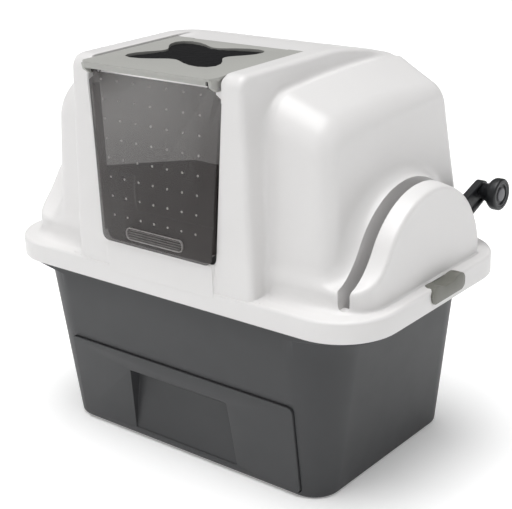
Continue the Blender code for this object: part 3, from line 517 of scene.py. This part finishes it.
def shoulder_field(x, y, z):
    """The lower blocks beside the centre, their tops falling to the sides, all edges large and soft."""
    rise = z - RIM_TOP
    out = np.maximum(x - 0.170, 0)
    front = (-0.1655 + 0.112 * (x - 0.150) + 0.0625 * rise) - y
    top = (z - (0.5705 - 0.42 * out - 0.35 * (y - 0.030) ** 2)) * 0.92
    side = x - (0.262 - 0.043 * rise)
    rear = (y - (0.190 - 0.07 * rise - 1.3 * out * rise)) * 0.95
    field = round_meet(front, top, 0.042)
    field = round_meet(field, rear, 0.024)
    return round_meet(field, side, np.interp(y, (0.02, 0.12), (0.026, 0.016)))


def dome_field(x, y, z):
    """The half-round housing about the pan's axis, its front flaring onto a plinth with a round corner."""
    radius = 0.1345 - 0.17 * (x - 0.262)
    wheel = np.hypot(y - PIVOT.y, z - PIVOT.z) - radius
    across, ahead = x - (DOME_OUTER - PLINTH_CORNER), -y - (PLINTH_FRONT - PLINTH_CORNER)
    plan = np.hypot(np.maximum(across, 0), np.maximum(ahead, 0))
    plan = plan + np.minimum(np.maximum(across, ahead), 0) - PLINTH_CORNER
    flare = np.where(y < PIVOT.y, 0.045, 0.004)
    profile = round_join(wheel, z - PLINTH_TOP, flare)
    return round_meet(profile, np.maximum(plan, y - (PIVOT.y + 0.1225)), 0.0045)


def ledge_field(x, y, z):
    """The flat ledge on the rim, that the walls' feet run out onto."""
    across = x - (RIM_HALF[0] - RIM_CORNER)
    along = np.abs(y) - (RIM_HALF[1] - RIM_CORNER)
    plan = np.hypot(np.maximum(across, 0), np.maximum(along, 0))
    plan = plan + np.minimum(np.maximum(across, along), 0) - RIM_CORNER
    return np.maximum(z - (RIM_TOP - 0.0001), plan + 0.0055)


def hood_field(points, grow=0.0, hollow=False):
    """The whole hood body, or with hollow the cabin inside it, grow smaller all round."""
    x, y, z = np.abs(points[..., 0]), points[..., 1], points[..., 2]
    body = round_join(centre_field(x, y, z), shoulder_field(x, y, z), 0.007)
    if hollow:
        roof = z - (HOOD_TOP - 0.0100)
        return np.maximum(np.maximum(body + grow, roof), 0.24 - z)
    body = round_join(body, dome_field(x, y, z), 0.020)
    foot = np.interp(x, (0.164, 0.178, 0.235, 0.290, 0.314), (0.0010, 0.020, 0.023, 0.012, 0.0035))
    body = round_join(body, ledge_field(x, y, z), foot)
    apron = np.maximum(np.maximum(APRON_FRONT - y, y + 0.150), z - (SILL + 0.004))
    body = np.minimum(body, np.maximum(apron, x - APRON_HALF))
    recess = np.maximum(np.maximum(x - OPENING_TOP, y - 0.075), HOOD_TOP - 0.0050 - z)
    body = round_meet(body, -recess, 0.0025)
    return np.maximum(body, RIM_TOP - 0.010 - z)


def field_mesh(field, low, high, step, settle=4):
    """A mesh on the zero of a distance field, its points settled onto the true surface."""
    counts = [int(math.ceil((b - a) / step)) + 1 for a, b in zip(low, high)]
    axes = [a + step * np.arange(n) for a, n in zip(low, counts)]
    grid_points = np.stack(np.meshgrid(*axes, indexing="ij"), axis=-1)
    values = field(grid_points).astype(np.float32)
    grid = openvdb.FloatGrid()
    grid.background = 1.0
    grid.copyFromArray(values)
    points, triangles, quads = grid.convertToPolygons(isovalue=0.0, adaptivity=0.0)
    points = np.asarray(points, np.float64) * step + np.array(low)
    nudge = step * 0.05
    for _ in range(settle):
        here = field(points)
        slope = np.stack([
            (field(points + nudge * axis) - field(points - nudge * axis)) / (2 * nudge) for axis in np.eye(3)
        ], axis=-1)
        size = np.maximum((slope**2).sum(axis=-1), 0.25)
        move = slope * (here / size)[:, None]
        points -= np.clip(move, -step * 0.5, step * 0.5)
    mesh = bpy.data.meshes.new("field")
    faces = [list(face) for face in quads] + [list(face) for face in triangles]
    mesh.from_pydata(points.tolist(), [], faces)
    shape = bmesh.new()
    shape.from_mesh(mesh)
    return mesh_from(shape)


def opening_outline(grow=0.0):
    """The door's opening seen from the front: tapered down, with round lower corners."""
    half_low, half_top = OPENING_SILL + grow, OPENING_TOP + grow
    lean = math.degrees(math.atan2(half_top - half_low, OPENING_BEND - SILL))
    corner = 0.012 + grow
    right = arc((half_low - corner, SILL - grow + corner), corner, -90, -lean, 8)
    right += [(half_top, OPENING_BEND), (half_top, 0.640)]
    return right + [(-x, z) for x, z in reversed(right)]


def lip_ring(grow, depth):
    """The opening's outline laid on the leaning front, this far behind its face."""
    return [(x, front_face(z) + depth, z) for x, z in opening_outline(grow)]


def make_hood():
    """The white moulding: block, shoulders and domes in one skin, hollowed and cut for door and lever."""
    low, high = (-0.3300, -0.2080, RIM_TOP - 0.020), (0.3300, 0.2000, HOOD_TOP + 0.006)
    body = field_mesh(hood_field, low, high, 0.0030)
    low, high = (-0.280, -0.210, 0.230), (0.280, 0.200, HOOD_TOP)
    cabin = field_mesh(lambda points: hood_field(points, HOOD_WALL, True), low, high, 0.0070, 2)
    slot_nose = arc(((SLOT[0] + SLOT[1]) / 2, SLOT_FRONT), 0.0090, 180, 360, 16)
    cutters = [
        cabin,
        slab(opening_outline(), -0.260, -0.120, "y"),
        mesh_from(skin([lip_ring(0.0026, -0.0010), lip_ring(0.0002, 0.0016)])),
        block((-OPENING_TOP, OPENING_TOP), (-0.130, 0.0000), (OPENING_BEND, 0.6400)),
        block(SLOT, (SLOT_FRONT, 0.160), (RIM_TOP - 0.030, SLOT_TOP)),
        slab(slot_nose, RIM_TOP + 0.0002, SLOT_TOP),
        slab(arc((PIVOT.y, PIVOT.z), 0.024, 0, 350, 35), 0.200, SLOT[0] + 0.004, "x"),
    ]
    for side in (-1, 1):
        seat = span(side, POCKET_BACK, RIM_HALF[0] + 0.02)
        cutters.append(block(seat, POCKET, (RIM_TOP - 0.020, RIM_TOP + 0.003)))
    body = carved(body, *cutters)
    smooth(body, 30.0)
    piece("hood_moulding", body, "hood_white", "housing", "hood_shell")


def make_rim():
    """The rim that sits on the tub: a rounded skirt with a flat ledge, cut for the lever and the latches."""

    def ring(inset, z):
        outline = rounded_rectangle(RIM_HALF[0] - inset, RIM_HALF[1] - inset, RIM_CORNER - inset)
        return [(x, y, z) for x, y in outline]

    round_edge = 0.0045
    outer = [ring(0.0006, RIM_LOW), ring(0.0, RIM_LOW + 0.0006), ring(0.0, RIM_TOP - round_edge)]
    for share in range(1, 7):
        turn = math.radians(90 * share / 6)
        outer.append(ring(round_edge * (1 - math.cos(turn)), RIM_TOP - round_edge * (1 - math.sin(turn))))
    hole = rounded_rectangle(0.256, 0.160, 0.030, centre=(0.0, 0.012))
    inner = [
        [(x, y, RIM_TOP) for x, y in hole], [(x, y, DECK_UNDER) for x, y in hole],
        ring(0.0035, DECK_UNDER), ring(0.0030, RIM_LOW),
    ]
    rim = mesh_from(skin(outer + inner, closed=True))
    cutters = [block((0.262, 0.300), (-0.1400, 0.1400), (0.28, 0.32))]
    for side in (-1, 1):
        walls = block(
            span(side, POCKET_BACK - 0.003, RIM_HALF[0] - 0.0015),
            (POCKET[0] - 0.008, POCKET[1] + 0.008), (RIM_LOW + 0.0008, RIM_TOP - 0.0015),
        )
        rim = carved(rim, walls, operation="UNION")
        seat = span(side, POCKET_BACK, RIM_HALF[0] + 0.02)
        cutters.append(block(seat, POCKET, (LATCH_AXIS.z, RIM_TOP + 0.01)))
        barrel = [(side * u, v) for u, v in arc((LATCH_AXIS.x, LATCH_AXIS.z), 0.0033, 0, 352, 44)]
        cutters.append(slab(barrel, *POCKET, "y"))
    rim = carved(rim, *cutters)
    smooth(rim, 30.0)
    piece("hood_rim", rim, "hood_white", "housing", "hood_shell")


# ---------------------------------------------------------------- tub and drawer
def tub_ring(z, inset):
    """The tub's outline at a height; it widens and its corners grow rounder upwards."""
    share = z / tub_top
    half_x = 0.249 + (0.285 - 0.249) * share - inset
    half_y = 0.163 + (0.190 - 0.163) * share - inset
    corner = 0.040 + 0.040 * share - inset
    return [(x, y, z) for x, y in rounded_rectangle(half_x, half_y, corner, 20)]


def make_tub():
    """The base: a tapered tub with a rolled foot, a flared lip under the rim, and the drawer's mouth."""
    outer = []
    for i in range(7):
        turn = math.radians(15 * i)
        outer.append(tub_ring(TUB_FOOT * (1 - math.cos(turn)), TUB_FOOT * (1 - math.sin(turn))))
    outer += [tub_ring(TUB_FOOT + (tub_top - 0.020) * i / 8, 0.0) for i in range(1, 9)]
    lip = rounded_rectangle(RIM_HALF[0] - 0.011, RIM_HALF[1] - 0.011, RIM_CORNER - 0.008, 20)
    outer += [[(x, y, z) for x, y in lip] for z in (tub_top - 0.007, tub_top)]
    inner = [tub_ring(z, TUB_WALL) for z in (tub_top, 0.18, 0.09, 0.010)] + [tub_ring(0.004, 0.008)]
    shell = mesh_from(skin(outer + inner))
    mouth = rounded_rectangle(0.2157, 0.0710, 0.009, 8, (0.0, 0.07675))
    shell = carved(shell, slab(mouth, -0.25, -0.12, "y"))
    shell = modified(shell, ("BEVEL", {
        "width": 0.0012, "segments": 2, "limit_method": "ANGLE", "angle_limit": math.radians(50),
        "use_clamp_overlap": True,
    }))
    smooth(shell, 34.0)
    piece("tub_shell", shell, "tub_grey", "housing", "base_tub")


# ---------------------------------------------------------------- lever, knob and latches
def bar(x, inset, steps=24):
    """The lever's outline at one x: a bar with round ends from the pan's axis to the knob's."""
    reach = (KNOB_AXIS.y - PIVOT.y, KNOB_AXIS.z - PIVOT.z)
    lean = math.atan2(reach[1], reach[0])
    flat = arc((0, 0), LEVER_ENDS[0] - inset, 90, 270, steps)
    flat += arc((math.hypot(*reach), 0), LEVER_ENDS[1] - inset, -90, 90, steps)
    along, up = math.cos(lean), math.sin(lean)
    return [(x, PIVOT.y + u * along - v * up, PIVOT.z + u * up + v * along) for u, v in flat]


def make_lever():
    """The arm: a channel with raised edge rails, a boss at each end and a flat web between them."""
    inner, outer = lever_low[0], lever_high[0]
    arm = mesh_from(skin([
        bar(inner, LEVER_EDGE),
        bar(inner + LEVER_EDGE, 0.0),
        bar(outer - LEVER_EDGE, 0.0),
        bar(outer, LEVER_EDGE),
    ]))
    web = mesh_from(skin([
        bar(outer - 0.0038, 0.0048),
        bar(outer - 0.0008, 0.0040),
        bar(outer + 0.002, 0.0026),
    ]))
    arm = carved(arm, web)
    hub = turned([(0.0125, inner + 0.004), (0.0125, outer - 0.0008), (0.0117, outer)], PIVOT, 48)
    boss_profile = [(0.0105, inner + 0.004), (0.0105, outer - 0.0010), (0.0095, outer - 0.0002)]
    boss = turned(boss_profile, KNOB_AXIS, 48)
    arm = carved(arm, hub, boss, operation="UNION", solver="EXACT")
    socket = turned([(0.0079, inner - 0.002), (0.0079, inner + 0.009)], PIVOT, 32)
    screw_way = turned([(0.0030, inner), (0.0030, outer + 0.002)], PIVOT, 24)
    axle_way = turned([(0.0053, inner + 0.004), (0.0053, outer + 0.002)], KNOB_AXIS, 32)
    arm = carved(arm, socket, screw_way, axle_way, solver="EXACT")
    smooth(arm, 34.0)
    piece("lever_channel", arm, "pan_black", "pan", "lever_arm")


def make_knob():
    """A mushroom knob: slim neck, rolled outer edge, stepped face with a grey band, and a smooth cap."""
    near, far = knob_low[0], knob_high[0]
    radius = (knob_high[1] - knob_low[1]) / 2
    profile = [
        (0.0053, far - 0.0055), (0.0101, far - 0.0055), (0.0101, far - 0.0030), (0.0140, far - 0.0030),
        (0.0146, far - 0.0012), (0.0158, far - 0.0008), (0.0158, far - 0.0022), (0.0174, far - 0.0022),
        (0.0174, far - 0.0008), (0.0180, far - 0.0002),
    ]
    for degrees in range(0, 91, 15):
        turn = math.radians(degrees)
        profile.append((radius - 0.0030 + 0.0030 * math.sin(turn), far - 0.0030 + 0.0030 * math.cos(turn)))
    profile += [(radius, near + 0.0195), (radius - 0.0008, near + 0.0172), (radius - 0.0032, near + 0.0142)]
    profile += [(0.0152, near + 0.0092), (0.0124, near + 0.0040), (0.0114, near), (0.0053, near)]
    knob = turned_ring(profile, KNOB_AXIS)
    smooth(knob, 28.0)
    piece("knob_turned", knob, "pan_black", "knob", "lever_knob")
    crown = [(0.0098, far - 0.0052), (0.0098, far - 0.0016)]
    for degrees in (30, 60, 90):
        turn = math.radians(degrees)
        crown.append((0.0098 - 0.0012 * (1 - math.cos(turn)), far - 0.0016 + 0.0010 * math.sin(turn)))
    crown += [(0.0060, far - 0.0003), (0.0030, far - 0.0001), (0.0004, far)]
    cap = turned(crown, KNOB_AXIS)
    smooth(cap, 28.0)
    piece("knob_crown", cap, "cap_grey", "knob", "knob_cap")
    band = [
        (0.0160, far - 0.0022), (0.0160, far - 0.0011), (0.0163, far - 0.0008), (0.0169, far - 0.0008),
        (0.0172, far - 0.0011), (0.0172, far - 0.0022),
    ]
    piece("knob_band", turned_ring(band, KNOB_AXIS), "cap_grey", "knob")


def latch_section(y, side):
    """One cut through a latch across its length: the face, the scooped top and the body in the pocket."""
    front, rear = latch_low[1], latch_high[1]
    low, high = LATCH_AXIS.z, latch_high[2]
    ends = []
    for distance, radius in ((y - front, 0.0120), (rear - y, 0.0085)):
        gap = max(0.0, radius - distance)
        ends.append(radius - math.sqrt(max(0.0, radius**2 - gap**2)))
    nip = max(ends)
    scoop = 0.0060 * math.exp(-(((y - 0.0140) / 0.0200) ** 4))
    bottom, top = low + nip * 0.95, high - nip * 0.95 - scoop
    spread = min(1.0, max(0.0, (y - front - 0.0035) / 0.006), max(0.0, (rear - y - 0.0035) / 0.006))
    back = 0.3378 - 0.0148 * spread**0.5
    crest = max(top, high - nip * 0.95 - scoop * 0.35)
    inside = IN_POCKET[0] <= y <= IN_POCKET[1]
    floor = low + 0.0034 if inside else min(RIM_TOP + 0.0004, top - 0.0004)
    face = latch_high[0]
    points = [
        (face - 0.0022, bottom), (face - 0.0007, bottom + 0.0004), (face, bottom + 0.0016),
        (face, top - 0.0014), (face - 0.0005, top - 0.0004), (face - 0.0016, top),
    ]
    for i in range(1, 9):
        share = i / 8
        dip = 0.0013 * math.sin(math.pi * share) * spread
        points.append((face - 0.0016 + (back - face + 0.0016) * share, top + (crest - top) * share - dip))
    points += [(back - 0.0004, crest - 0.0008), (back - 0.0004, floor), (RIM_HALF[0] + 0.0003, floor)]
    points += [(RIM_HALF[0] + 0.0003, bottom + 0.0022)]
    return [(side * x, y, z) for x, z in points]


def make_latches():
    """Each latch is one moulding with a finger scoop along its top, and a barrel about its pin."""
    start, end = latch_low[1], latch_high[1]
    stations = {start + (end - start) * (1 - math.cos(math.pi * i / 64)) / 2 for i in range(65)}
    stations |= {IN_POCKET[0], IN_POCKET[0] - 0.00005, IN_POCKET[1], IN_POCKET[1] + 0.00005}
    for side, tag in ((1, "right"), (-1, "left")):
        body = mesh_from(skin([latch_section(y, side) for y in sorted(stations)]), 40.0)
        piece("latch_face_" + tag, body, "latch_grey", tag + "_latch", "latch_" + tag)
        x, z = LATCH_AXIS.x, LATCH_AXIS.z
        barrel = [(side * u, v) for u, v in arc((x, z), 0.0029, 0, 345, 23)]
        piece("latch_barrel_" + tag, slab(barrel, *IN_POCKET, "y"), "latch_grey", tag + "_latch")
        neck = block(span(side, x - 0.0015, x + 0.0015), IN_POCKET, (z + 0.002, z + 0.0045))
        piece("latch_neck_" + tag, neck, "latch_grey", tag + "_latch")


# ---------------------------------------------------------------- cover, felt and door
def make_felt():
    """The carbon felt: a matted pad that swells a little through the cover's window."""
    count = 96
    low, high = felt_low, felt_high
    grid = []
    for i in range(count + 1):
        row = []
        for j in range(count + 1):
            u, v = i / count, j / count
            edge = min(u, 1 - u, v, 1 - v)
            x = low[0] + (high[0] - low[0]) * u
            y = low[1] + (high[1] - low[1]) * v
            swell = 0.0032 * math.exp(-(((x + 0.010) / 0.062) ** 4) - (((y + 0.090) / 0.052) ** 4))
            weft = math.sin(311 * x + 2.1 * math.sin(97 * y))
            mat = 0.00035 * weft * math.sin(277 * y + 1.7 * math.sin(83 * x))
            round_off = 0.0016 * max(0.0, 1 - edge / 0.02) ** 2
            row.append((x, y, high[2] + swell + mat * (1 if swell > 0.0005 else 0) - round_off))
        grid.append(row)
    shape = bmesh.new()
    top = [[shape.verts.new(point) for point in row] for row in grid]
    base = [[shape.verts.new((x, y, low[2])) for x, y, _ in row] for row in grid]
    for i in range(count):
        for j in range(count):
            shape.faces.new((top[i][j], top[i + 1][j], top[i + 1][j + 1], top[i][j + 1]))
            shape.faces.new((base[i][j], base[i][j + 1], base[i + 1][j + 1], base[i + 1][j]))
    rim = [(i, 0) for i in range(count)] + [(count, j) for j in range(count)]
    rim += [(i, count) for i in range(count, 0, -1)] + [(0, j) for j in range(count, 0, -1)]
    for (a, b), (c, d) in zip(rim, rim[1:] + rim[:1]):
        shape.faces.new((top[a][b], base[a][b], base[c][d], top[c][d]))
    pad = piece("felt_pad", mesh_from(shape, 60.0), "filter_felt", "cover", "carbon_filter")


def on_door(across, out, up):
    """A point in the door's own plane, out towards the front and up from its pins."""
    lean = -DOOR_LEAN
    y, z = -out, up
    return (
        across, DOOR_AXIS.y + y * math.cos(lean) - z * math.sin(lean),
        DOOR_AXIS.z + y * math.sin(lean) + z * math.cos(lean),
    )


def pip_tree():
    """A node tree that sets a small dome on each point of the mesh it is given."""
    tree = bpy.data.node_groups.new("door_pips", "GeometryNodeTree")
    tree.interface.new_socket("Geometry", in_out="INPUT", socket_type="NodeSocketGeometry")
    size = tree.interface.new_socket("Pip radius", in_out="INPUT", socket_type="NodeSocketFloat")
    size.default_value = PIP_RADIUS
    finish = tree.interface.new_socket("Finish", in_out="INPUT", socket_type="NodeSocketMaterial")
    tree.interface.new_socket("Geometry", in_out="OUTPUT", socket_type="NodeSocketGeometry")
    enter, leave = tree.nodes.new("NodeGroupInput"), tree.nodes.new("NodeGroupOutput")
    dome = tree.nodes.new("GeometryNodeMeshUVSphere")
    dome.inputs["Segments"].default_value = 20
    dome.inputs["Rings"].default_value = 10
    flat = tree.nodes.new("GeometryNodeTransform")
    flat.inputs["Scale"].default_value = (1.0, 0.42, 1.0)
    scatter = tree.nodes.new("GeometryNodeInstanceOnPoints")
    real = tree.nodes.new("GeometryNodeRealizeInstances")
    paint = tree.nodes.new("GeometryNodeSetMaterial")
    for start, end in (
        (enter.outputs["Pip radius"], dome.inputs["Radius"]),
        (dome.outputs["Mesh"], flat.inputs["Geometry"]),
        (enter.outputs["Geometry"], scatter.inputs["Points"]),
        (flat.outputs["Geometry"], scatter.inputs["Instance"]),
        (scatter.outputs["Instances"], real.inputs["Geometry"]),
        (real.outputs["Geometry"], paint.inputs["Geometry"]),
        (enter.outputs["Finish"], paint.inputs["Material"]),
        (paint.outputs["Geometry"], leave.inputs["Geometry"]),
    ):
        tree.links.new(start, end)
    return tree, size.identifier, finish.identifier


def make_pips():
    """Rows of small domes moulded on the door's face, closing up with its taper."""
    face = DOOR_THICK / 2
    spots = []
    for row in range(PIP_ROWS):
        up = -(DOOR_AXIS.z - 0.567) - 0.0273 * row
        share = (up + DOOR_DROP) / DOOR_DROP
        spacing = 0.0244 + 0.0064 * share
        for column in range(PIP_COLUMNS):
            across = (column - PIP_COLUMNS // 2) * spacing - 0.004 * share
            spots.append(on_door(across, face + 0.0001, up))
    seed = bpy.data.meshes.new("pip_places")
    seed.from_pydata(spots, [], [])
    item = bpy.data.objects.new("door_pips", seed)
    bpy.context.scene.collection.objects.link(item)
    tree, radius, finish = pip_tree()
    modifier = item.modifiers.new("pips", "NODES")
    modifier.node_group = tree
    modifier[radius] = PIP_RADIUS
    # The pips take the lighter smoked finish, which paints highlights on them.
    modifier[finish] = FINISHES["smoked_painted_highlight"]
    graph = bpy.context.evaluated_depsgraph_get()
    made = bpy.data.meshes.new_from_object(item.evaluated_get(graph))
    bpy.data.objects.remove(item, do_unlink=True)
    made.shade_smooth()
    piece("door_pips", made, "smoked_clear", "door", finish="smoked_painted_highlight")


def make_pull():
    """The finger pull: a raised rounded rim round four ribs."""
    face = DOOR_THICK / 2
    middle = -DOOR_DROP + PULL_RISE

    def ring(inset, out):
        flat = rounded_rectangle(0.054 - inset, 0.0095 - inset, 0.009 - inset, 10)
        return [on_door(x, out, middle + z) for x, z in flat]

    rim = [
        ring(0.0, face), ring(0.0, face + 0.0022), ring(0.0006, face + 0.0028), ring(0.0016, face + 0.0028),
        ring(0.0022, face + 0.0022), ring(0.0022, face),
    ]
    # The rim and the ribs below take the lighter smoked finish, which paints highlights on them.
    piece("pull_rim", mesh_from(skin(rim, closed=True)), "smoked_clear", "door", finish="smoked_painted_highlight")
    for i in range(4):
        up = middle - 0.0054 + 0.0036 * i
        half = 0.0495 if i in (1, 2) else 0.0470
        rib = []
        for x in (-half, half):
            rib.append([
                on_door(x, face, up - 0.0009), on_door(x, face, up + 0.0009),
                on_door(x, face + 0.0013, up + 0.0005), on_door(x, face + 0.0013, up - 0.0005),
            ])
        piece(f"pull_rib_{i}", mesh_from(skin(rib)), "smoked_clear", "door", finish="smoked_painted_highlight")


make_camera()
make_studio()
make_hood()
make_rim()
make_tub()
eased("drawer_front", "tub_grey", "drawer", "waste_drawer", width=0.0020, segments=4)
eased("bag_frame", "pan_black", "drawer", "drawer_bag_frame", width=0.0008)
eased("pan_walls", "pan_black", "pan", "litter_pan", width=0.0010)
eased("sieve", "sieve_grey", "pan", "sifter_grid", width=0.0006)
for tag in ("left", "right"):
    eased("hub_" + tag, "pan_black", "pan", "end_hub_" + tag, width=0.0008)
    eased("saddle_" + tag, "tub_grey", "housing", "bearing_saddle_" + tag, width=0.0008)
    eased("rail_" + tag, "tub_grey", "housing", "drawer_rail_" + tag, width=0.0008)
make_latches()
make_lever()
make_knob()
eased("cover_plate", "cover_grey", "cover", "top_cover", width=0.0014, segments=4, angle=40.0)
eased("tray", "pan_black", "cover", "filter_tray", width=0.0006)
make_felt()
eased("door_pane", "smoked_clear", "door", "door_flap", width=0.0008, segments=3, angle=40.0)
make_pips()
make_pull()
for part in frame["record"]["subparts"]:
    materials = frame["nodes"][part["node"]].data.materials
    materials.clear()
    materials.append(FINISHES[part["material_slot"]])
